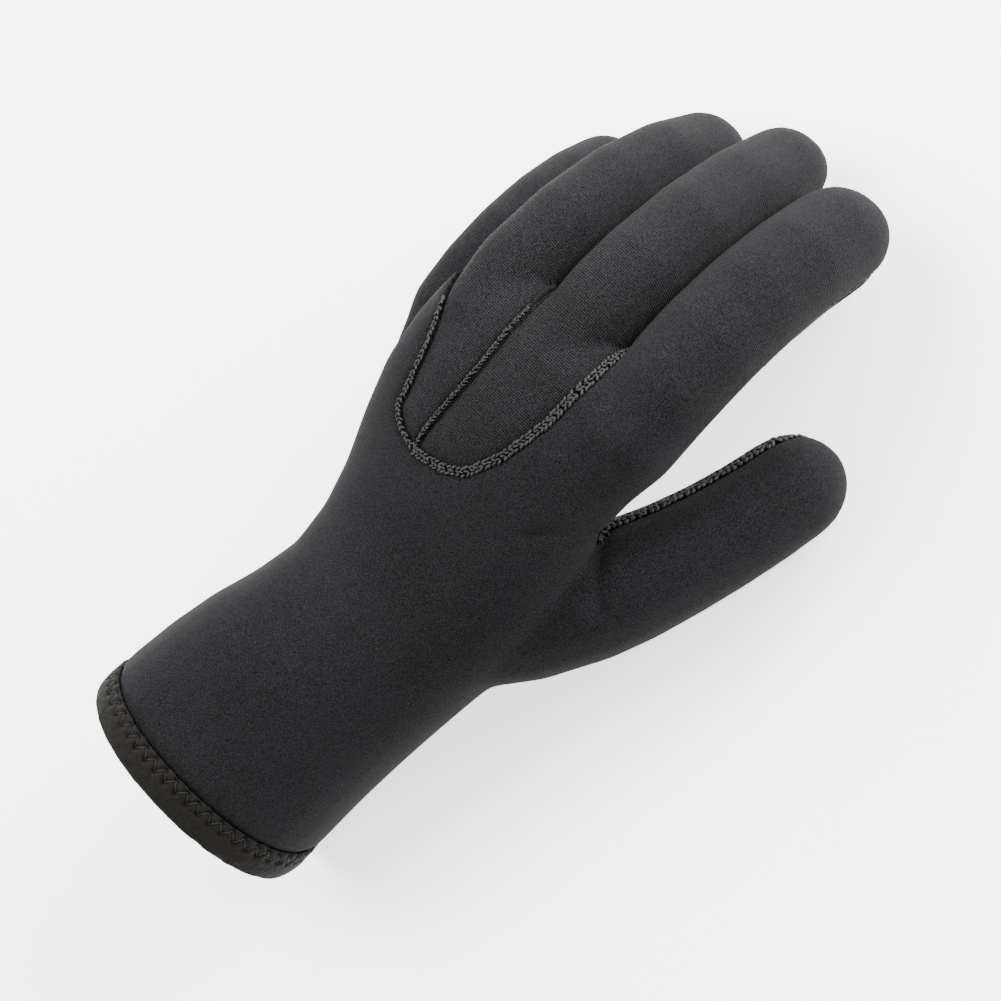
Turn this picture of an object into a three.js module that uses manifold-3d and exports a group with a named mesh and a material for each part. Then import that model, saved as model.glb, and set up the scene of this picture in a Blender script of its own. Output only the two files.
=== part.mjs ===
// A left-hand diving glove of thick neoprene, puffed out as if worn, standing palm down like an
// arch, on the end of its cuff, its thumb and its longest fingertip.
// Millimetres. +Y runs to the fingertips, +Z up out of the back of the hand, +X to the thumb.
import * as THREE from 'three';
import { mergeVertices } from 'three/addons/utils/BufferGeometryUtils.js';
import Module from 'manifold-3d';

const wasm = await Module();
wasm.setup();

// Main sizes
const REACH = 190; // from the end of the cuff to the finger webs, along the back
const PALM_WIDTH = 86; // across the knuckles, thumb left out
const PALM_DEPTH = 42; // through the middle of the palm
const FINGER_LENGTH = 108; // middle finger, knuckle to tip
const WALL = 3; // neoprene
const GAP = 0.3; // left between two pieces that are sewn together
const HEM = 11; // how much of the cuff the binding covers
const LEAF = 0.8; // thickness of the binding tape
const PROUD = 0.4; // how far the tape stands out of the cuff, outside and inside
const PRESS = 0.6; // how far the neoprene gives where the glove stands on it

// The sleeve of the hand from the cuff to the webs. along is a share of REACH; slope, turn and twist
// are degrees; side and width are shares of PALM_WIDTH, depth is a share of PALM_DEPTH; seam is the
// height of the palm panel's edge over the middle, as a share of the depth there.
const HAND = [
  { along: 0.0, slope: 8, turn: -8, side: -0.155, width: 0.93, depth: 1.52, twist: -14, seam: -0.25 },
  { along: 0.21, slope: 5, turn: -3, side: -0.075, width: 0.875, depth: 1.4, twist: -10, seam: -0.25 },
  { along: 0.43, slope: 7, turn: 0, side: 0.05, width: 0.81, depth: 1.22, twist: -3, seam: -0.25 },
  { along: 0.58, slope: 17, turn: 0, side: 0.075, width: 0.93, depth: 1.12, twist: 3, seam: -0.22 },
  { along: 0.74, slope: 15, turn: 0, side: 0.005, width: 0.97, depth: 1.03, twist: 6, seam: -0.2 },
  { along: 0.88, slope: 10, turn: 0, side: -0.01, width: 0.95, depth: 0.78, twist: 7, seam: -0.2 },
  { along: 1.0, slope: -4, turn: 0, side: -0.02, width: 0.84, depth: 0.36, twist: 5, seam: -0.2 },
];

// The digits. at is where the knuckle lies, as a share of REACH; side and lift move it off the middle
// of the hand, as shares of PALM_WIDTH; yaw, pitch, roll and curl are degrees, pitch over the slope of
// the hand; length is a share of FINGER_LENGTH; width and depth are shares of PALM_WIDTH; root is how
// far the digit runs back into the hand, as a share of its length; seam as for the hand, first at the
// knuckle and then at the tip.
const DIGITS = {
  index: { at: 0.9, side: 0.367, lift: 0.015, yaw: -2, pitch: -8, roll: 0, curl: 65,
    length: 1.0, width: 0.35, depth: 0.34, root: 0.35, seam: [-0.25, -0.05] },
  middle: { at: 0.9, side: 0.0, lift: 0.01, yaw: -1, pitch: -12.5, roll: 1, curl: 65,
    length: 1.07, width: 0.305, depth: 0.305, root: 0.35, seam: [-0.15, -0.1] },
  ring: { at: 0.88, side: -0.313, lift: -0.01, yaw: -3, pitch: -17.5, roll: 5, curl: 72,
    length: 1.05, width: 0.285, depth: 0.285, root: 0.35, seam: [-0.15, -0.1] },
  little: { at: 0.82, side: -0.49, lift: -0.24, yaw: -4, pitch: -16, roll: 0, curl: 73,
    length: 0.78, width: 0.275, depth: 0.275, root: 0.3, seam: [0.0, -0.05] },
  thumb: { at: 0.64, side: 0.525, lift: -0.157, yaw: 28, pitch: -25.5, roll: -56, curl: 26,
    length: 0.76, width: 0.325, depth: 0.335, root: 0.7, seam: [-0.24, -0.2] },
};

// How a digit swells along its length: share of the way from the knuckle to the tip
const FINGER_SWELL = [
  { along: -1.0, swell: 0.5 },
  { along: -0.3, swell: 0.75 },
  { along: 0.0, swell: 0.95 },
  { along: 0.3, swell: 1.0 },
  { along: 1.0, swell: 0.98 },
];
const THUMB_SWELL = [
  { along: -0.75, swell: 0.9 },
  { along: -0.35, swell: 1.22 },
  { along: 0.0, swell: 1.27 },
  { along: 0.4, swell: 1.12 },
  { along: 1.0, swell: 1.0 },
];

// The three seams of the set-in panels on the back, seen from above. along runs from the bottom of the
// big U (0) to the webs (1); left, between and right are shares of PALM_WIDTH off the middle.
const PANEL_START = 0.68;
const PANEL_SEAMS = [
  { along: 0.0, left: -0.13, between: -0.13, right: -0.13 },
  { along: 0.04, left: -0.24, between: -0.14, right: 0.0 },
  { along: 0.18, left: -0.295, between: -0.14, right: 0.1 },
  { along: 0.45, left: -0.35, between: -0.13, right: 0.17 },
  { along: 0.75, left: -0.455, between: -0.14, right: 0.19 },
  { along: 1.0, left: -0.505, between: -0.155, right: 0.18 },
];

const rad = THREE.MathUtils.degToRad;
const X = new THREE.Vector3(1, 0, 0);

// A smooth line through the rows of a table
function through(rows) {
  const columns = Object.keys(rows[0]).filter((key) => key !== 'along');
  const values = rows.flatMap((row) => columns.map((key) => row[key]));
  const line = new THREE.CubicInterpolant(rows.map((row) => row.along), values, columns.length);
  return (along) => {
    const found = Array.from(line.evaluate(along));
    return Object.fromEntries(columns.map((key, i) => [key, found[i]]));
  };
}

// The middle line of the hand, stepped along its slopes
const STEPS = 95;
const handRow = through(HAND);
const spine = [new THREE.Vector3(0, 0, 0)];
for (let i = 1; i <= STEPS; i += 1) {
  const slope = rad(handRow((i - 0.5) / STEPS).slope);
  const step = new THREE.Vector3(0, Math.cos(slope), Math.sin(slope)).multiplyScalar(REACH / STEPS);
  spine.push(spine[i - 1].clone().add(step));
}

function handFrame(along) {
  const row = handRow(Math.min(Math.max(along, 0), 1));
  const ahead = new THREE.Vector3(0, Math.cos(rad(row.slope)), Math.sin(rad(row.slope)));
  const up = X.clone().cross(ahead);
  const place = Math.min(Math.max(along, 0), 1) * STEPS;
  const low = Math.min(Math.floor(place), STEPS - 1);
  const centre = spine[low].clone().lerp(spine[low + 1], place - low);
  centre.addScaledVector(ahead, (along - Math.min(Math.max(along, 0), 1)) * REACH);
  centre.addScaledVector(X, row.side * PALM_WIDTH);
  const side = X.clone();
  const turn = new THREE.Quaternion().setFromAxisAngle(up, rad(row.turn));
  turn.multiply(new THREE.Quaternion().setFromAxisAngle(ahead, -rad(row.twist)));
  [ahead, side, up].forEach((axis) => axis.applyQuaternion(turn));
  return { centre, ahead, side, up, row };
}

function digitFrame(digit, distance) {
  const { slope } = handRow(digit.at);
  const base = handFrame(digit.at);
  const pitch = rad(slope + digit.pitch);
  const yaw = rad(digit.yaw);
  const ahead = new THREE.Vector3(
    Math.sin(yaw) * Math.cos(pitch),
    Math.cos(yaw) * Math.cos(pitch),
    Math.sin(pitch),
  );
  const side = new THREE.Vector3(Math.cos(yaw), -Math.sin(yaw), 0);
  const up = side.clone().cross(ahead);
  const turn = new THREE.Quaternion().setFromAxisAngle(ahead, -rad(digit.roll));
  side.applyQuaternion(turn);
  up.applyQuaternion(turn);
  const knuckle = base.centre.clone();
  knuckle.x = digit.side * PALM_WIDTH;
  knuckle.addScaledVector(X.clone().cross(base.ahead), digit.lift * PALM_WIDTH);
  const length = digit.length * FINGER_LENGTH;
  const bend = rad(digit.curl) / length;
  const angle = bend * Math.min(distance, length);
  const centre = knuckle
    .addScaledVector(ahead, Math.sin(angle) / bend)
    .addScaledVector(up, (Math.cos(angle) - 1) / bend);
  const bow = new THREE.Quaternion().setFromAxisAngle(side, -angle);
  ahead.applyQuaternion(bow);
  up.applyQuaternion(bow);
  centre.addScaledVector(ahead, Math.max(distance - length, 0));
  return { centre, ahead, side, up };
}

function middleOf(ring) {
  return ring.reduce((sum, point) => sum.add(point), new THREE.Vector3()).divideScalar(ring.length);
}

// A closed solid from rings of points, its far end drawn to the point last
function solid(rings, last = middleOf(rings[rings.length - 1])) {
  const count = rings[0].length;
  const points = [...rings.flat(), middleOf(rings[0]), last];
  const faces = [];
  for (let i = 0; i < count; i += 1) {
    const j = (i + 1) % count;
    for (let k = 0; k < rings.length - 1; k += 1) {
      const a = k * count + i;
      const b = k * count + j;
      faces.push(a, b + count, b, a, a + count, b + count);
    }
    const end = (rings.length - 1) * count;
    faces.push(points.length - 2, i, j, points.length - 1, end + j, end + i);
  }
  return new wasm.Manifold(new wasm.Mesh({
    numProp: 3,
    vertProperties: new Float32Array(points.flatMap((point) => point.toArray())),
    triVerts: new Uint32Array(faces),
  }));
}

// One ring of a sleeve: an oval a little squarer than an ellipse
function oval(frame, width, depth, sides) {
  const power = 2 / 2.2;
  return Array.from({ length: sides }, (_, i) => {
    const angle = (i / sides) * 2 * Math.PI;
    const across = Math.sign(Math.cos(angle)) * Math.abs(Math.cos(angle)) ** power;
    const upward = Math.sign(Math.sin(angle)) * Math.abs(Math.sin(angle)) ** power;
    return frame.centre.clone()
      .addScaledVector(frame.side, (across * width) / 2)
      .addScaledVector(frame.up, (upward * depth) / 2);
  });
}

function box(frame, half, low, high) {
  return [[-half, low], [half, low], [half, high], [-half, high]].map(([across, upward]) => (
    frame.centre.clone().addScaledVector(frame.side, across).addScaledVector(frame.up, upward)
  ));
}

// The sleeve of the hand; grow moves its skin outward, inward if negative
function handSleeve(grow, sides, stations) {
  const start = grow <= -WALL ? -0.05 : 0;
  const round = 0.08;
  const rings = [];
  for (let i = 0; i <= stations; i += 1) {
    const share = start + ((1 - round - start) * i) / stations;
    const { row, ...frame } = handFrame(share);
    rings.push(oval(frame, row.width * PALM_WIDTH + 2 * grow, row.depth * PALM_DEPTH + 2 * grow, sides));
  }
  const reach = round + grow / REACH;
  for (let i = 1; i < 4; i += 1) {
    const turn = (i / 4) * (Math.PI / 2);
    const { row, ...frame } = handFrame(1 - round + reach * Math.sin(turn));
    const depth = (row.depth * PALM_DEPTH + 2 * grow) * Math.cos(turn);
    rings.push(oval(frame, row.width * PALM_WIDTH + 2 * grow - (1 - Math.cos(turn)) * 12, depth, sides));
  }
  return solid(rings, handFrame(1 - round + reach).centre);
}

// The sleeve of a digit, closed by a rounded tip
function digitSleeve(name, grow, sides, stations) {
  const digit = DIGITS[name];
  const swell = through(name === 'thumb' ? THUMB_SWELL : FINGER_SWELL);
  const length = digit.length * FINGER_LENGTH;
  const tip = 0.55 * digit.width * PALM_WIDTH;
  const back = digit.root * length;
  const distances = [];
  for (let i = 0; i < 3; i += 1) {
    distances.push([-back * (1 - i / 3), 1]);
  }
  for (let i = 0; i <= stations; i += 1) {
    distances.push([((length - tip) * i) / stations, 1]);
  }
  for (let i = 1; i < 5; i += 1) {
    const turn = (i / 5) * (Math.PI / 2);
    distances.push([length - tip + (tip + grow) * Math.sin(turn), Math.cos(turn)]);
  }
  const rings = distances.map(([distance, share]) => {
    const size = swell(distance / (distance < 0 && name !== 'thumb' ? back : length)).swell * PALM_WIDTH;
    const frame = digitFrame(digit, distance);
    return oval(frame, (digit.width * size + 2 * grow) * share, (digit.depth * size + 2 * grow) * share, sides);
  });
  return solid(rings, digitFrame(digit, length + grow).centre);
}

const names = Object.keys(DIGITS);
const union = (solids) => solids.reduce((all, next) => all.add(next));

const outerHand = handSleeve(0, 28, 11);
const outerDigits = Object.fromEntries(names.map((name) => [name, digitSleeve(name, 0, 14, 5)]));
const outer = union([outerHand, ...Object.values(outerDigits)]);
const inner = union([
  handSleeve(-WALL, 18, 7),
  ...names.map((name) => digitSleeve(name, -WALL, 9, 4)),
]);
const shell = outer.subtract(inner);

// Everything below the palm panel's edge; grow raises that edge
function below(grow) {
  const rings = [];
  for (let i = -1; i <= 13; i += 1) {
    const { row, ...frame } = handFrame(i / 12);
    rings.push(box(frame, PALM_WIDTH, -PALM_WIDTH, row.seam * row.depth * PALM_DEPTH + grow));
  }
  const hand = solid(rings).intersect(handSleeve(2 * GAP + grow, 28, 11));
  const digits = names.map((name) => {
    const digit = DIGITS[name];
    const length = digit.length * FINGER_LENGTH;
    const width = digit.width * PALM_WIDTH;
    const depth = digit.depth * PALM_WIDTH;
    const boxes = [];
    for (let i = -2; i <= 6; i += 1) {
      const level = THREE.MathUtils.lerp(digit.seam[0], digit.seam[1], Math.max(i, 0) / 6) * depth;
      boxes.push(box(digitFrame(digit, (i / 6) * length), width, -depth, level + grow));
    }
    boxes[0] = box(digitFrame(digit, -length / 3 - grow), width, -depth, digit.seam[0] * depth + grow);
    boxes.push(box(digitFrame(digit, length + 2), width, -depth, digit.seam[1] * depth + grow));
    return solid(boxes)
      .intersect(digitSleeve(name, GAP + grow, 14, 5))
      .subtract(handSleeve(-grow, 28, 11));
  });
  return union([hand, ...digits]);
}

// A plan outline pulled upright; grow moves its edge outward
function upright(outline, grow) {
  const moved = outline.map((point, i) => {
    const before = outline[(i + outline.length - 1) % outline.length];
    const after = outline[(i + 1) % outline.length];
    const into = point.clone().sub(before).normalize();
    const out = after.clone().sub(point).normalize();
    const edge = into.add(out).normalize();
    return point.clone().add(new THREE.Vector2(edge.y, -edge.x).multiplyScalar(grow));
  });
  const geometry = new THREE.ExtrudeGeometry(new THREE.Shape(moved), { depth: 300, bevelEnabled: false });
  geometry.translate(0, 0, -100);
  return fromGeometry(geometry);
}

function fromGeometry(geometry) {
  geometry.deleteAttribute('normal');
  geometry.deleteAttribute('uv');
  const merged = mergeVertices(geometry, 1e-4);
  return new wasm.Manifold(new wasm.Mesh({
    numProp: 3,
    vertProperties: new Float32Array(merged.attributes.position.array),
    triVerts: new Uint32Array(merged.index.array),
  }));
}

function toGeometry(piece) {
  const mesh = piece.getMesh();
  const geometry = new THREE.BufferGeometry();
  geometry.setAttribute('position', new THREE.BufferAttribute(new Float32Array(mesh.vertProperties), 3));
  geometry.setIndex(new THREE.BufferAttribute(new Uint32Array(mesh.triVerts), 1));
  return geometry;
}

const WEB = 0.32; // where the fingers part, as a share of their length

// Where a set-in panel ends beyond the web, seen from above: half way to the next finger, or at the
// finger's own edge where the next one lies lower than it
function valley(name, neighbour) {
  const share = WEB + 0.13;
  const at = (other) => digitFrame(DIGITS[other], share * DIGITS[other].length * FINGER_LENGTH).centre;
  const { x, y } = at(name);
  const own = x - 0.5 * DIGITS[name].width * PALM_WIDTH;
  return new THREE.Vector2(neighbour === 'little' ? own : (x + at(neighbour).x) / 2, y);
}

const panelRow = through(PANEL_SEAMS);
const webLine = handFrame(1).centre.y;
const panelBottom = handFrame(PANEL_START).centre.y;

function seamLine(key) {
  return Array.from({ length: 10 }, (_, i) => {
    const along = (i / 9) ** 1.6;
    const row = panelRow(along);
    return new THREE.Vector2(row[key] * PALM_WIDTH, THREE.MathUtils.lerp(panelBottom, webLine, along));
  });
}

// The skin of a finger beyond the web, where nothing else touches it
function freeFinger(name, grow) {
  const digit = DIGITS[name];
  const length = digit.length * FINGER_LENGTH;
  const width = digit.width * PALM_WIDTH;
  const boxes = [box(digitFrame(digit, WEB * length - grow), width, -width, width)];
  for (let i = 1; i <= 4; i += 1) {
    const distance = THREE.MathUtils.lerp(WEB, 1, i / 4) * length;
    boxes.push(box(digitFrame(digit, distance), width, -width, width));
  }
  boxes.push(box(digitFrame(digit, length + 2), width, -width, width));
  return solid(boxes).intersect(digitSleeve(name, GAP + grow, 14, 5));
}

// The piece of the back that one set-in finger panel takes up; grow moves its edge outward
function inset(name, right, rightNeighbour, left, leftNeighbour, grow) {
  const outline = [
    ...seamLine(right),
    valley(name, rightNeighbour),
    valley(name, leftNeighbour),
    ...seamLine(left).slice(1).reverse(),
  ];
  return upright(outline, grow)
    .subtract(freeFinger(rightNeighbour, -grow))
    .subtract(freeFinger(leftNeighbour, -grow))
    .add(freeFinger(name, grow));
}

// The one body that is left when stray chips are dropped
function whole(piece) {
  return piece.decompose().sort((a, b) => b.volume() - a.volume())[0];
}

// A band round the end of the cuff, from one share of the reach to another
function cuffRing(share, grow) {
  const { row, ...frame } = handFrame(share);
  return oval(frame, row.width * PALM_WIDTH + 2 * grow, row.depth * PALM_DEPTH + 2 * grow, 28);
}

function cuffTube(shares, grows) {
  return solid(shares.map((share, i) => cuffRing(share, grows[i])));
}

// The binding, a tape folded over the pressed edge of the neoprene
const hem = HEM / REACH;
const gap = GAP / REACH;
const fold = LEAF / REACH;
const past = 0.01;
const leaf = PROUD - LEAF;
const edge = LEAF - PROUD - WALL;
const slot = cuffTube([fold, hem + past], [leaf, leaf]).subtract(cuffTube([0, hem + 2 * past], [edge, edge]));
const binding = cuffTube([0, fold, hem], [leaf, PROUD, PROUD])
  .subtract(cuffTube([-past, 0, fold, hem + past], [edge, edge, -PROUD - WALL, -PROUD - WALL]))
  .subtract(slot);
const tongue = cuffTube([fold + gap, hem + past], [leaf - GAP, leaf - GAP])
  .subtract(cuffTube([0, hem + 2 * past], [edge + GAP, edge + GAP]));
const around = cuffTube([-0.02, hem + gap], [WALL, WALL])
  .subtract(cuffTube([-0.03, hem + 2 * gap], [-2 * WALL, -2 * WALL]))
  .subtract(tongue);

// The panels
const body = shell.subtract(around);
const upper = body.subtract(below(GAP / 2));
const ringInset = (grow) => inset('ring', 'between', 'middle', 'left', 'little', grow);
const middleInset = (grow) => inset('middle', 'right', 'index', 'between', 'ring', grow);
const pieces = {
  back_panel: upper.subtract(ringInset(GAP / 2)).subtract(middleInset(GAP / 2)),
  palm_panel: body.intersect(below(-GAP / 2)),
  middle_finger_panel: upper.intersect(middleInset(-GAP / 2)),
  ring_finger_panel: upper.intersect(ringInset(-GAP / 2)),
  cuff_binding: binding,
};

// How the glove stands: on the end of the cuff, the thumb and one fingertip
const corners = (piece) => {
  const { vertProperties } = piece.getMesh();
  return Array.from({ length: vertProperties.length / 3 }, (_, i) => (
    new THREE.Vector3().fromArray(vertProperties, 3 * i)
  ));
};
const feet = [
  corners(binding),
  corners(outerDigits.thumb),
  names.filter((name) => name !== 'thumb').flatMap((name) => corners(outerDigits[name])),
];
const upward = new THREE.Vector3(0, 0, 1);
for (let i = 0; i < 8; i += 1) {
  const [heel, thumb, tip] = feet.map((points) => (
    points.reduce((low, point) => (point.dot(upward) < low.dot(upward) ? point : low))
  ));
  upward.copy(thumb.clone().sub(heel).cross(tip.clone().sub(heel)).normalize());
}
const stand = new THREE.Matrix4().makeRotationFromQuaternion(
  new THREE.Quaternion().setFromUnitVectors(upward, new THREE.Vector3(0, 0, 1)),
);
const stood = new THREE.Box3().setFromPoints(corners(outer).map((point) => point.applyMatrix4(stand)));
const origin = stood.getCenter(new THREE.Vector3()).setZ(stood.min.z + PRESS);
stand.premultiply(new THREE.Matrix4().makeTranslation(...origin.negate().toArray()));
const ground = new THREE.BoxGeometry(600, 600, 100).translate(0, 0, -50);
const floor = fromGeometry(ground.applyMatrix4(stand.clone().invert()));

const colours = {
  back_panel: '#27282a',
  palm_panel: '#27282a',
  middle_finger_panel: '#2a2b2d',
  ring_finger_panel: '#2a2b2d',
  cuff_binding: '#2c2a26',
};
const group = new THREE.Group();
group.name = 'diving_glove';
Object.entries(pieces).forEach(([name, piece]) => {
  const laid = toGeometry(piece.subtract(floor)).applyMatrix4(stand);
  const geometry = toGeometry(whole(fromGeometry(laid)));
  geometry.computeVertexNormals();
  const material = new THREE.MeshStandardMaterial({ color: colours[name], roughness: 0.9, metalness: 0 });
  const node = new THREE.Mesh(geometry, material);
  node.name = name;
  group.add(node);
});

export default group;
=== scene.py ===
# A left-hand diving glove of thick black neoprene, puffed out as if worn. It stands like an arch
# on the end of its cuff, its thumb and its longest fingertips, the back of the hand up.
# Metres. +Y runs to the fingertips, +Z up out of the back of the hand, +X to the thumb.
import math
import random
from collections import defaultdict, deque

import bmesh
import bpy
import numpy as np
from mathutils import Matrix, Vector
from mathutils.bvhtree import BVHTree
from mathutils.kdtree import KDTree


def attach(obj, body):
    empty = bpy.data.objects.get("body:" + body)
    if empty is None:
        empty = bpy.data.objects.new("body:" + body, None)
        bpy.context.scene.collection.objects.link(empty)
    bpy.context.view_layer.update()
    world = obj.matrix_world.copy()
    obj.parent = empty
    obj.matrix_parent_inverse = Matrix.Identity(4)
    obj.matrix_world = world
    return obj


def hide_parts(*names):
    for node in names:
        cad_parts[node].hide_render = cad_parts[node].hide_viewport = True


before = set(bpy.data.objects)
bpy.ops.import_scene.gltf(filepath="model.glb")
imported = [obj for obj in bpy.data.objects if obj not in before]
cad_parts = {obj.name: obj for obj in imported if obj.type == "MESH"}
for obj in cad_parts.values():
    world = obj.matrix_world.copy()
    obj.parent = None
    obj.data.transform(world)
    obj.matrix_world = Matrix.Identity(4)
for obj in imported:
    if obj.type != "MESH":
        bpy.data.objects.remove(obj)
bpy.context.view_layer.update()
random.seed(7)
MM = 0.001

# The skin of the glove
# The real one is 3 mm foam rubber between two knitted jerseys, glued edge to edge and shaped by the
# hand. It is smoothed as one shell here first, so that the panels cut from it meet without a step.
PANELS = ("back_panel", "palm_panel", "middle_finger_panel", "ring_finger_panel")
WELD = 0.001 * MM
SKIN = {"grow": 0.2 * MM, "fineness": 0.9 * MM}
FACET_ROUNDS = 18
EVEN_ROUNDS = 16
KEEP_SIZE = (0.5, -0.52)


def node_mesh(name, grow=0.0):
    """The solid of a node as a closed mesh, its skin moved out by grow."""
    solid = bmesh.new()
    solid.from_mesh(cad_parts[name].data)
    bmesh.ops.remove_doubles(solid, verts=solid.verts, dist=WELD)
    solid.normal_update()
    for corner in solid.verts:
        corner.co += corner.normal * grow
    return solid


def mesh_data(mesh, name):
    """The mesh as Blender keeps it, once its shaping is done."""
    data = bpy.data.meshes.new(name)
    mesh.to_mesh(data)
    mesh.free()
    return data


def even_mesh(names, grow, fineness):
    """The named nodes as one closed mesh of small even faces."""
    joined = bmesh.new()
    for name in names:
        part = mesh_data(node_mesh(name, grow), "part")
        joined.from_mesh(part)
        bpy.data.meshes.remove(part)
    source = mesh_data(joined, "source")
    rough = bpy.data.objects.new("rough", source)
    bpy.context.scene.collection.objects.link(rough)
    remesh = rough.modifiers.new("even", "REMESH")
    remesh.mode = "VOXEL"
    remesh.voxel_size = fineness
    finished = rough.evaluated_get(bpy.context.evaluated_depsgraph_get())
    even = bmesh.new()
    even.from_mesh(finished.to_mesh())
    finished.to_mesh_clear()
    bpy.data.objects.remove(rough)
    bpy.data.meshes.remove(source)
    even.verts.ensure_lookup_table()
    return even


def ease(mesh, rounds, factors=(0.5,)):
    """Rounds off facets; with a second, negative factor it keeps the size."""
    for _ in range(rounds):
        for factor in factors:
            bmesh.ops.smooth_vert(
                mesh, verts=mesh.verts, factor=factor, use_axis_x=True, use_axis_y=True, use_axis_z=True
            )


def tree_of(places):
    """A tree that finds the nearest of the places."""
    tree = KDTree(len(places))
    for index, place in enumerate(places):
        tree.insert(place, index)
    tree.balance()
    return tree


skin = even_mesh(PANELS, **SKIN)
cut_shape = [corner.co.copy() for corner in skin.verts]
ease(skin, FACET_ROUNDS)
ease(skin, EVEN_ROUNDS, KEEP_SIZE)
skin.normal_update()

# Worn fingers swell until they nearly touch, and the smoothing took a little off everywhere.
FULLNESS = 0.45 * MM
FULLEST = 2.5 * MM
CLOSEST = 0.3 * MM
BESIDE = 6.0 * MM
WEBS = 45 * MM
OPPOSITE = -0.3
SWELL_ROUNDS = 14
skin_tree = BVHTree.FromBMesh(skin)


def fullness(corner):
    """How far the skin swells out at a corner."""
    start = corner.co + corner.normal * CLOSEST
    place, facing, _, free = skin_tree.ray_cast(start, corner.normal, BESIDE)
    if place is None or corner.co.y < WEBS or facing.dot(corner.normal) > OPPOSITE:
        return FULLNESS
    return min(free / 2, max(FULLNESS, FULLEST * (1 - (free / BESIDE) ** 3)))


swell = np.array([fullness(corner) for corner in skin.verts])
ends = np.array([[corner.index for corner in edge.verts] for edge in skin.edges])
both = np.concatenate([ends, ends[:, ::-1]])
links_each = np.bincount(both[:, 0])
for _ in range(SWELL_ROUNDS):
    swell = (swell + np.bincount(both[:, 0], swell[both[:, 1]])) / (1 + links_each)
for corner, amount in zip(skin.verts, swell):
    corner.co += corner.normal * float(amount)
ease(skin, 4)
skin.normal_update()
cut_tree = tree_of(cut_shape)
shift = [corner.co - place for corner, place in zip(skin.verts, cut_shape)]

NEIGHBOURS = 4
SOFT = 0.1 * MM


def mould(mesh):
    """Gives a piece cut from the plain solids the smooth shape of the whole skin."""
    for corner in mesh.verts:
        near = cut_tree.find_n(corner.co, NEIGHBOURS)
        weights = [1 / (distance + SOFT) for _, _, distance in near]
        move = Vector()
        for weight, (_, index, _) in zip(weights, near):
            move += shift[index] * weight
        corner.co += move / sum(weights)


# The seam lines
# The panels are butted, glued and covered by a rope of overlock thread on the outside. Each line is
# where two panels meet on the outside of the smoothed skin.
solids = {name: node_mesh(name) for name in PANELS + ("cuff_binding",)}
trees = {name: BVHTree.FromBMesh(solid) for name, solid in solids.items()}
FAR = 6 * MM
HEMMED = 1.2 * MM
SHORTEST = 20
SIDE_ROUNDS = 60
BACK_ROUNDS = 14


def distance_to(name, place):
    """How far a place is from a node, up to FAR."""
    return trees[name].find_nearest(place, FAR)[3] or FAR


reach = np.array([[distance_to(name, place) for name in PANELS] for place in cut_shape])
nearest = reach.argmin(axis=1)
hemmed = [distance_to("cuff_binding", place) < HEMMED for place in cut_shape]
top = max(skin.verts, key=lambda corner: corner.co.z)
outside = {top.index}
waiting = deque([top])
while waiting:
    corner = waiting.popleft()
    for edge in corner.link_edges:
        other = edge.other_vert(corner)
        if other.index not in outside and not hemmed[other.index]:
            outside.add(other.index)
            waiting.append(other)

links = defaultdict(lambda: defaultdict(list))
for face in skin.faces:
    owners = sorted({int(nearest[corner.index]) for corner in face.verts})
    if len(owners) != 2 or not all(corner.index in outside for corner in face.verts):
        continue
    crossed = []
    for edge in face.edges:
        a, b = edge.verts
        if nearest[a.index] != nearest[b.index]:
            crossed.append(edge)
    if len(crossed) == 2:
        links[tuple(owners)][crossed[0]].append(crossed[1])
        links[tuple(owners)][crossed[1]].append(crossed[0])


def crossing(edge, owners):
    """Where an edge of the skin crosses from one panel to the other, and the skin's normal there."""
    a, b = edge.verts
    first = reach[a.index][owners[0]] - reach[a.index][owners[1]]
    second = reach[b.index][owners[0]] - reach[b.index][owners[1]]
    share = first / (first - second)
    return a.co.lerp(b.co, share), a.normal.lerp(b.normal, share)


class Line:
    """A smooth line on the skin, its places and normals at even steps."""

    STEP = 0.4 * MM

    def __init__(self, places, normals, rounds):
        places = np.array(places)
        normals = np.array(normals)
        for _ in range(rounds):
            places[1:-1] = (places[:-2] + 2 * places[1:-1] + places[2:]) / 4
            normals[1:-1] = (normals[:-2] + 2 * normals[1:-1] + normals[2:]) / 4
        along = np.concatenate([[0], np.cumsum(np.linalg.norm(np.diff(places, axis=0), axis=1))])
        self.length = float(along[-1])
        even = np.arange(0, self.length, self.STEP)
        self.places = np.stack([np.interp(even, along, column) for column in places.T], axis=1)
        self.normals = np.stack([np.interp(even, along, column) for column in normals.T], axis=1)

    def at(self, distance):
        """The place, the ways along and across, and the normal at a distance along the line."""
        spot = int(min(max(distance / self.STEP, 1), len(self.places) - 2))
        ahead = Vector(self.places[spot + 1] - self.places[spot - 1]).normalized()
        across = Vector(self.normals[spot]).cross(ahead).normalized()
        return Vector(self.places[spot]), ahead, across, ahead.cross(across)


seams = {}
for owners, joined in links.items():
    names = tuple(PANELS[owner] for owner in owners)
    rounds = SIDE_ROUNDS if "palm_panel" in names else BACK_ROUNDS
    lines = []
    unused = set(joined)
    while unused:
        ends = [edge for edge in unused if len(joined[edge]) == 1]
        edge = min(ends or unused, key=lambda item: item.index)
        trail = []
        while edge is not None:
            unused.discard(edge)
            trail.append(edge)
            edge = next((other for other in joined[edge] if other in unused), None)
        if len(trail) > SHORTEST:
            found = [crossing(item, owners) for item in trail]
            lines.append(Line([place for place, _ in found], [normal for _, normal in found], rounds))
    seams[names] = lines

seam_points = [
    (place, Vector(normal).normalized())
    for lines in seams.values()
    for line in lines
    for place, normal in zip(line.places, line.normals)
]
seam_tree = tree_of([place for place, _ in seam_points])

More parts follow.
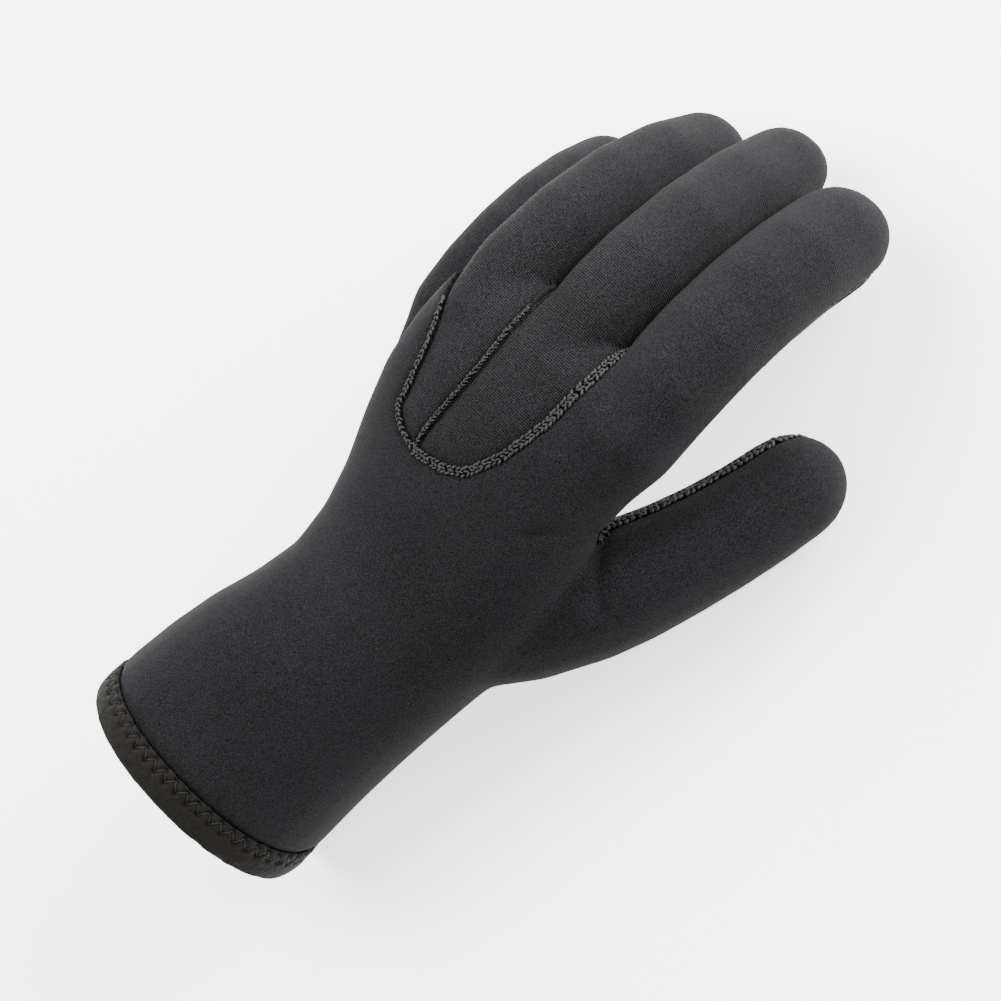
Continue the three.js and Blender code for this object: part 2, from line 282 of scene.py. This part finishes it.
# The panels
# Four cuts of neoprene, each sinking softly towards its seams and its hem. The jersey is knitted in
# fine ribs that run across the hand, plain to see on the two set-in panels and faint on the others.
GROOVE = {"depth": 0.75 * MM, "width": 1.8 * MM}
PILLOW = {"depth": 0.9 * MM, "width": 6.0 * MM}
HEM_GROOVE = {"depth": 0.9 * MM, "width": 1.2 * MM}
CREASE = {"depth": 1.1 * MM, "width": 1.9 * MM}
CREASE_STEPS = 20
CREASES = [
    [(34, 14, 42), (38, 10, 45), (42, 6, 47), (46, 2, 47), (50, -2, 45)],
    [(30, 3, 69), (33, 8, 67), (36, 11, 64), (38, 14, 59), (36, 15, 50)],
]
PANEL_GROW = 0.4 * MM
FLOOR = 0.02 * MM
crease_tree = tree_of([
    Vector(a).lerp(Vector(b), step / CREASE_STEPS) * MM
    for line in CREASES
    for a, b in zip(line, line[1:])
    for step in range(CREASE_STEPS)
])

# The ribs follow the bend of the middle finger, whose ridge is close to a circle.
ridge = np.array([
    (corner.co.y, corner.co.z)
    for corner in skin.verts
    if PANELS[nearest[corner.index]] == "middle_finger_panel"
    and corner.index in outside
    and corner.normal.z > 0.4
    and abs(corner.normal.x) < 0.15
])
circle = np.linalg.lstsq(
    np.column_stack([2 * ridge, np.ones(len(ridge))]), (ridge ** 2).sum(axis=1), rcond=None
)[0]
bend_radius = math.sqrt(circle[2] + circle[0] ** 2 + circle[1] ** 2)
hem_middle = sum((corner.co for corner in solids["cuff_binding"].verts), Vector())
hem_middle /= len(solids["cuff_binding"].verts)


def dip(shape, distance):
    """How deep a groove is at a distance from its line."""
    return shape["depth"] * math.exp(-((distance / shape["width"]) ** 2))


def turned(normal, way):
    """1 where a face looks a way, 0 where it looks across it or back."""
    return min(1.0, max(0.0, 1.5 * normal.dot(way)))


def shown(data, name, replaced=None):
    """Makes a finished piece of the glove from mesh data."""
    for face in data.polygons:
        face.use_smooth = True
    data.name = name
    piece = bpy.data.objects.new(name, data)
    bpy.context.scene.collection.objects.link(piece)
    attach(piece, "root")
    if replaced:
        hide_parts(replaced)
    return piece


def neoprene(name, fineness, pillow):
    """A panel, with its distance to the seam and its place across the ribs kept at every corner."""
    mesh = even_mesh([name], PANEL_GROW, fineness)
    hem = [distance_to("cuff_binding", corner.co) for corner in mesh.verts]
    mould(mesh)
    ease(mesh, 2)
    mesh.normal_update()
    ribs = mesh.verts.layers.float.new("ribs")
    seam = mesh.verts.layers.float.new("seam")
    sunk = []
    for corner, to_hem in zip(mesh.verts, hem):
        _, index, distance = seam_tree.find(corner.co)
        at_seam = dip(GROOVE, distance) + pillow * dip(PILLOW, distance)
        at_seam *= turned(corner.normal, seam_points[index][1])
        at_hem = turned(corner.normal, (corner.co - hem_middle).normalized()) * dip(HEM_GROOVE, to_hem)
        creased = dip(CREASE, crease_tree.find(corner.co)[2]) if name == "back_panel" else 0.0
        sunk.append(at_seam + at_hem + creased)
        # The distance to the nearest seam or to the hem, in mm, which sets the painted shade near them.
        corner[seam] = min(distance, to_hem) / MM
        y, z = corner.co.y - circle[0], corner.co.z - circle[1]
        corner[ribs] = (bend_radius * math.atan2(y, z) if y > 0 else y) / MM
    for corner, depth in zip(mesh.verts, sunk):
        corner.co -= corner.normal * depth
        corner.co.z = max(corner.co.z, FLOOR)
    return shown(mesh_data(mesh, name), name.replace("panel", "neoprene"), name)


COARSE = 1.1 * MM
FINE = 0.75 * MM
back = neoprene("back_panel", COARSE, pillow=0.3)
palm = neoprene("palm_panel", COARSE, pillow=0.5)
middle_finger = neoprene("middle_finger_panel", FINE, pillow=1.0)
ring_finger = neoprene("ring_finger_panel", FINE, pillow=1.0)

# The overlock ropes
# Black polyester thread with a dull shine, sewn over the seams in slanting rows and a little lumpy:
# four rows on the thumb, three on the big U's thumb side, two thinner ones on its other side, on the
# seam inside it and on the other side seams.
loop_mesh = bmesh.new()
bmesh.ops.create_uvsphere(loop_mesh, u_segments=6, v_segments=5, radius=0.5)
LOOP = mesh_data(loop_mesh, "loop")


def stitch(threads, start, end, normal, thickness):
    """One loop of thread lying on the skin from start to end."""
    ahead = (end - start).normalized()
    across = normal.cross(ahead).normalized()
    turn = Matrix((across, ahead.cross(across), ahead)).transposed().to_4x4()
    size = Matrix.Diagonal((thickness, thickness, (end - start).length, 1))
    loop = LOOP.copy()
    loop.transform(Matrix.Translation((start + end) / 2) @ turn @ size)
    threads.from_mesh(loop)
    bpy.data.meshes.remove(loop)


def loose(amount):
    """A little more or less, as a machine's thread lies."""
    return random.uniform(-amount, amount)


def rope(threads, line, rows, pitch, wanted, sunk=0.0, lower=0.0):
    """Slanting stitches where wanted: rows of how far across, how slanted, how long, how thick."""
    distance = 0.0
    while distance < line.length:
        if not wanted(line.at(distance)[0]):
            distance += pitch
            continue
        for offset, lean, length, thickness in rows:
            place, ahead, across, normal = line.at(distance + loose(0.18) * pitch)
            slant = math.radians(lean + loose(12))
            half = (ahead * math.cos(slant) + across * math.sin(slant)) * random.uniform(0.42, 0.56)
            aside = offset + loose(0.16) - math.copysign(lower, across.z)
            middle = place + (across * aside - normal * (sunk + random.uniform(0.05, 0.35))) * MM
            reached = half * length * MM + normal * loose(0.16) * MM
            thick = thickness * random.uniform(0.85, 1.15) * MM
            stitch(threads, middle - reached, middle + reached, normal, thick)
        distance += pitch


WIDE = [(0.95, 30, 2.0, 0.95), (0.0, -26, 1.9, 0.95), (-0.95, 30, 2.0, 0.95)]
MEDIUM = [(0.42, 28, 1.9, 0.85), (-0.42, -28, 1.9, 0.85)]
THIN = [(0.28, 30, 1.6, 0.68), (-0.28, -30, 1.6, 0.68)]
THUMB = [(1.5, 32, 2.1, 1.2), (0.5, -28, 2.1, 1.25), (-0.5, 32, 2.1, 1.25), (-1.5, -28, 2.1, 1.1)]
THUMB_SPACE = Vector((28, 75, 45)) * MM
RING_END = 36 * MM
MIDDLE_END = 50 * MM


def anywhere(_):
    return True


def on_thumb(place):
    return place.x > THUMB_SPACE.x and place.y < THUMB_SPACE.y and place.z < THUMB_SPACE.z


def on_fingers(place):
    return place.y >= WEBS and not on_thumb(place)


def on_hand(place):
    return place.y < WEBS and not on_thumb(place)


def behind_ring_finger(place):
    return place.y < RING_END


def behind_webs(place):
    return place.y < MIDDLE_END


knuckle_threads = bmesh.new()
side_threads = bmesh.new()
for names, lines in seams.items():
    for line in lines:
        if "palm_panel" in names:
            rope(side_threads, line, THUMB, 1.9 * MM, on_thumb, sunk=-0.1, lower=0.7)
            rope(side_threads, line, THIN, 1.4 * MM, on_fingers, sunk=0.5)
            rope(side_threads, line, THIN, 1.4 * MM, on_hand, sunk=0.1)
        elif "back_panel" not in names:
            rope(knuckle_threads, line, THIN, 1.25 * MM, behind_webs)
        elif "middle_finger_panel" in names:
            rope(knuckle_threads, line, WIDE, 1.5 * MM, anywhere)
        else:
            rope(knuckle_threads, line, MEDIUM, 1.5 * MM, behind_ring_finger)
knuckle_ropes = shown(mesh_data(knuckle_threads, "loops"), "knuckle_seam_thread")
side_ropes = shown(mesh_data(side_threads, "loops"), "side_seam_thread")

# The binding
# A soft tape folded over the cut end of the cuff and held by one zigzag run, whose needle holes
# pucker the tape and whose points catch the neoprene.
ZIGZAG = {"pitch": 4.5 * MM, "point": 0.6 * MM, "foot": 3.7 * MM, "sunk": 0.15 * MM, "thick": 0.34 * MM}
PUCKER = {"depth": 0.7 * MM, "width": 0.95 * MM}
PULL = {"depth": 0.28 * MM, "width": 0.9 * MM}
HOLE_SHADE_WIDTH = 0.62 * MM
WIDER_THAN_CUFF = 80 * MM
LEG_STEPS = 8
tape_mesh = even_mesh(["cuff_binding"], grow=0.3 * MM, fineness=0.45 * MM)
mould(tape_mesh)
ease(tape_mesh, 3)
tape_points = np.array([corner.co for corner in solids["cuff_binding"].verts])


def thin_way(points):
    """The way in which a ring of points spreads least."""
    return np.linalg.svd(points - points.mean(axis=0), full_matrices=False)[2][2]


heights = (tape_points - tape_points.mean(axis=0)) @ thin_way(tape_points)
upper = tape_points[heights * math.copysign(1, thin_way(tape_points)[1]) > 0]
hem_centre = Vector(upper.mean(axis=0))
cuff_ahead = Vector(thin_way(upper) * math.copysign(1, thin_way(upper)[1]))
cuff_side = cuff_ahead.cross(Vector((0, 0, 1))).normalized()
cuff_up = cuff_side.cross(cuff_ahead)
tape_tree = BVHTree.FromBMesh(tape_mesh)


def tape_line(inset):
    """A line round the outside of the tape, inset from its edge on the hand."""
    found = []
    for step in range(361):
        angle = math.radians(step)
        out = cuff_side * math.cos(angle) + cuff_up * math.sin(angle)
        start = hem_centre - cuff_ahead * inset + out * WIDER_THAN_CUFF
        place, normal, _, _ = tape_tree.ray_cast(start, -out)
        found.append((place, normal))
    return Line([place for place, _ in found], [normal for _, normal in found], 3)


points_line = tape_line(ZIGZAG["point"])
feet_line = tape_line(ZIGZAG["foot"])
turns = round(feet_line.length / ZIGZAG["pitch"])
holes = []
legs = []
for turn in range(turns):
    point, _, _, normal = points_line.at((turn + 0.5) / turns * points_line.length)
    for share in (turn / turns, (turn + 1) / turns):
        foot, _, _, _ = feet_line.at(share * feet_line.length)
        legs.append((point, foot, normal))
        holes.append(foot)
    holes.append(point)
hole_tree = tree_of(holes)
leg_tree = tree_of([
    point.lerp(foot, step / LEG_STEPS)
    for point, foot, _ in legs
    for step in range(LEG_STEPS + 1)
])
tape_mesh.normal_update()
hole_shade_mark = tape_mesh.verts.layers.float.new("hole_shade")
sunk = []
for corner in tape_mesh.verts:
    to_hole = hole_tree.find(corner.co)[2]
    to_leg = leg_tree.find(corner.co)[2]
    sunk.append(dip(PUCKER, to_hole) + dip(PULL, to_leg))
    # Painted shade in each puckered needle hole, strongest at the hole itself and fading within about
    # 0.6 mm.
    corner[hole_shade_mark] = math.exp(-((to_hole / HOLE_SHADE_WIDTH) ** 2))
for corner, depth in zip(tape_mesh.verts, sunk):
    corner.co -= corner.normal * depth
tape = shown(mesh_data(tape_mesh, "tape"), "cuff_binding_tape", "cuff_binding")
zigzag_threads = bmesh.new()
for point, foot, normal in legs:
    under = normal * ZIGZAG["sunk"]
    stitch(zigzag_threads, point - under, foot - under, normal, ZIGZAG["thick"])
zigzag = shown(mesh_data(zigzag_threads, "legs"), "cuff_zigzag_thread")

# The cloths and the thread
# Matt black nylon jersey over the neoprene, ribbed on the two finger panels, a browner tape on the
# cuff, and a thread with a dull shine. All are near black and a little uneven.


class Wire:
    """A value in a material, joined to others with ordinary arithmetic."""

    def __init__(self, tree, socket):
        self.tree = tree
        self.socket = socket

    def maths(self, operation, *others):
        node = self.tree.nodes.new("ShaderNodeMath")
        node.operation = operation
        for place, value in zip(node.inputs, (self,) + others):
            plug(self.tree, place, value)
        return Wire(self.tree, node.outputs[0])

    def __add__(self, other):
        return self.maths("ADD", other)

    def __sub__(self, other):
        return self.maths("SUBTRACT", other)

    def __mul__(self, other):
        return self.maths("MULTIPLY", other)

    def __rsub__(self, other):
        return self * -1.0 + other

    __radd__ = __add__
    __rmul__ = __mul__


def plug(tree, socket, value):
    """Gives a socket a value, or joins it to a wire."""
    if isinstance(value, Wire):
        tree.links.new(value.socket, socket)
    else:
        socket.default_value = value


class Cloth:
    """A material of the glove, shaded at every place by noise and by what its mesh keeps there."""

    def __init__(self, name):
        self.material = bpy.data.materials.new(name)
        self.material.use_nodes = True
        self.tree = self.material.node_tree
        self.surface = self.tree.nodes["Principled BSDF"]

    def node(self, kind, output, settings, **values):
        made = self.tree.nodes.new("ShaderNode" + kind)
        for key, value in settings.items():
            setattr(made, key, value)
        for key, value in values.items():
            plug(self.tree, made.inputs[key], value)
        return Wire(self.tree, made.outputs[output])

    def kept(self, name):
        """What the mesh keeps at each corner under a name."""
        return self.node("Attribute", "Fac", {"attribute_name": name})

    def noise(self, scale, detail=2.0):
        """An even noise about 0, its scale in waves a metre."""
        place = self.node("TexCoord", "Object", {})
        return self.node("TexNoise", "Fac", {}, Vector=place, Scale=scale, Detail=detail) - 0.5

    def shade(self, light, tone):
        """A tone made lighter or darker by light, which is about 1."""
        black = (0.0, 0.0, 0.0, 1.0)
        double = tuple(2 * part for part in tone) + (1.0,)
        factor = (light * 0.5).maths("MINIMUM", 1.0).maths("MAXIMUM", 0.0)
        return self.node("Mix", 2, {"data_type": "RGBA"}, Factor=factor, A=black, B=double)

    def relief(self, height):
        return self.node("Bump", "Normal", {}, Strength=1.0, Distance=1.0, Height=height)

    def finish(self, **values):
        for key, value in values.items():
            plug(self.tree, self.surface.inputs[key.replace("_", " ")], value)
        return self.material


RIB = 0.68
PALM_END = 25.0
MATT = {"Roughness": 0.9, "Sheen_Roughness": 0.45}


def jersey(name, contrast, grown, tone):
    """The knitted face, whose ribs grow plainer from the palm's end to the fingertips."""
    cloth = Cloth(name)
    ribs = cloth.kept("ribs")
    seam = cloth.kept("seam")
    further = ((ribs - PALM_END) * 0.03).maths("MAXIMUM", 0.0).maths("MINIMUM", 1.0)
    wave = (ribs * (2 * math.pi / RIB) + cloth.noise(70.0) * 4.0).maths("SINE")
    wave = wave * (further * grown + contrast)
    # Painted shade: the jersey is darkened towards its seams and its hem, where the grooves fall in
    # shade; the same closeness also raises the puckers in the bump.
    near = (seam * -0.55).maths("EXPONENT")
    grain = cloth.noise(2500.0, 3.0)
    patches = cloth.noise(28.0, 4.0)
    light = wave + grain * 5.6 + patches * 0.9 + 1.0 - near * 0.55
    height = wave * 0.00012 + grain * 0.0002 + cloth.noise(420.0) * near * 0.0006
    return cloth.finish(
        Base_Color=cloth.shade(light, tone),
        Specular_IOR_Level=0.08,
        Normal=cloth.relief(height),
        Sheen_Weight=0.012,
        **MATT,
    )


def thread(name, tone, glint):
    """A twisted yarn with a dull shine."""
    yarn = Cloth(name)
    return yarn.finish(
        Base_Color=yarn.shade(1.0 + yarn.noise(900.0) * 1.6, tone),
        Roughness=0.55,
        Specular_IOR_Level=glint,
        Normal=yarn.relief(yarn.noise(2600.0, 3.0) * 0.0002),
    )


def tape_cloth():
    """The tape's knitted face, with painted shade in its puckered needle holes."""
    cloth = Cloth("binding_jersey")
    hole_shade = cloth.kept("hole_shade")
    grain = cloth.noise(1500.0, 3.0)
    light = grain * 2.4 + cloth.noise(90.0) * 0.5 + 1.0 - hole_shade * 0.95
    return cloth.finish(
        Base_Color=cloth.shade(light, (0.0053, 0.0047, 0.0036)),
        Specular_IOR_Level=0.12,
        Normal=cloth.relief(grain * 0.00016 + cloth.noise(260.0) * 0.0009),
        Sheen_Weight=0.025,
        **MATT,
    )


plain_jersey = jersey("plain_jersey", contrast=0.08, grown=0.3, tone=(0.0071, 0.007, 0.0079))
ribbed_jersey = jersey("ribbed_jersey", contrast=0.62, grown=0.0, tone=(0.0082, 0.0081, 0.009))
for piece in (back, palm):
    piece.data.materials.append(plain_jersey)
for piece in (middle_finger, ring_finger):
    piece.data.materials.append(ribbed_jersey)
seam_thread = thread("seam_thread", (0.0055, 0.0055, 0.0055), glint=0.32)
for piece in (knuckle_ropes, side_ropes):
    piece.data.materials.append(seam_thread)
zigzag.data.materials.append(thread("zigzag_thread", (0.0072, 0.0066, 0.0053), glint=0.25))
tape.data.materials.append(tape_cloth())

# The table, the light and the camera
# A white table under two broad soft lights, one from the upper left and one from the upper right, as
# in a catalogue photograph, seen from above the thumb's side.
TABLE = 4.0
WHITE = (1.0, 1.0, 1.0, 1.0)
table_mesh = bmesh.new()
bmesh.ops.create_grid(table_mesh, x_segments=1, y_segments=1, size=TABLE)
table = bpy.data.objects.new("table", mesh_data(table_mesh, "table"))
bpy.context.scene.collection.objects.link(table)
table.data.materials.append(Cloth("glowing_white_table").finish(
    Base_Color=(0.97, 0.97, 0.97, 1.0),
    Roughness=0.9,
    # Painted light: the table glows, though it is no lamp, which whitens the floor and lights the
    # glove's underside from below.
    Emission_Color=WHITE,
    Emission_Strength=1.8,
))

world = bpy.data.worlds.new("studio")
bpy.context.scene.world = world
world.use_nodes = True
sky = world.node_tree.nodes["Background"]
sky.inputs["Color"].default_value = WHITE
sky.inputs["Strength"].default_value = 0.75

# The camera's angles are in degrees, and ROLL turns the picture in its own plane.
AZIMUTH, ELEVATION, ROLL = 108.21, 60.29, 65.43
DISTANCE = 0.95
PICTURE = 1001
PIXELS_PER_MM = 3.44
AIM = Vector((-0.1, -1.1, 40.0)) * MM
turn, rise, lean = (math.radians(angle) for angle in (AZIMUTH, ELEVATION, ROLL))
toward = Vector((math.sin(turn) * math.cos(rise), -math.cos(turn) * math.cos(rise), math.sin(rise)))
level = (-toward).cross(Vector((0, 0, 1))).normalized()
upright = level.cross(-toward)
right = level * math.cos(lean) - upright * math.sin(lean)
up = level * math.sin(lean) + upright * math.cos(lean)
lens = bpy.data.cameras.new("camera")
lens.sensor_width = 36
lens.lens = PIXELS_PER_MM * DISTANCE / MM / PICTURE * lens.sensor_width
lens.clip_end = 20
camera = bpy.data.objects.new("camera", lens)
axes = Matrix((right, up, toward)).transposed()
camera.matrix_world = Matrix.Translation(AIM + toward * DISTANCE) @ axes.to_4x4()
bpy.context.scene.collection.objects.link(camera)
bpy.context.scene.camera = camera

SOFTBOX = 1.2


def softbox(name, place, power):
    """A broad soft lamp that looks at the glove."""
    lamp = bpy.data.lights.new(name, "AREA")
    lamp.energy = power
    lamp.size = SOFTBOX
    stand = bpy.data.objects.new(name, lamp)
    stand.location = place
    stand.rotation_euler = (place - AIM).to_track_quat("Z", "Y").to_euler()
    bpy.context.scene.collection.objects.link(stand)


softbox("left_window", AIM + toward * 0.45 - right * 1.1 + up * 0.55, power=62)
softbox("far_window", AIM + toward * 0.6 + right * 0.75 + up * 0.95, power=106)
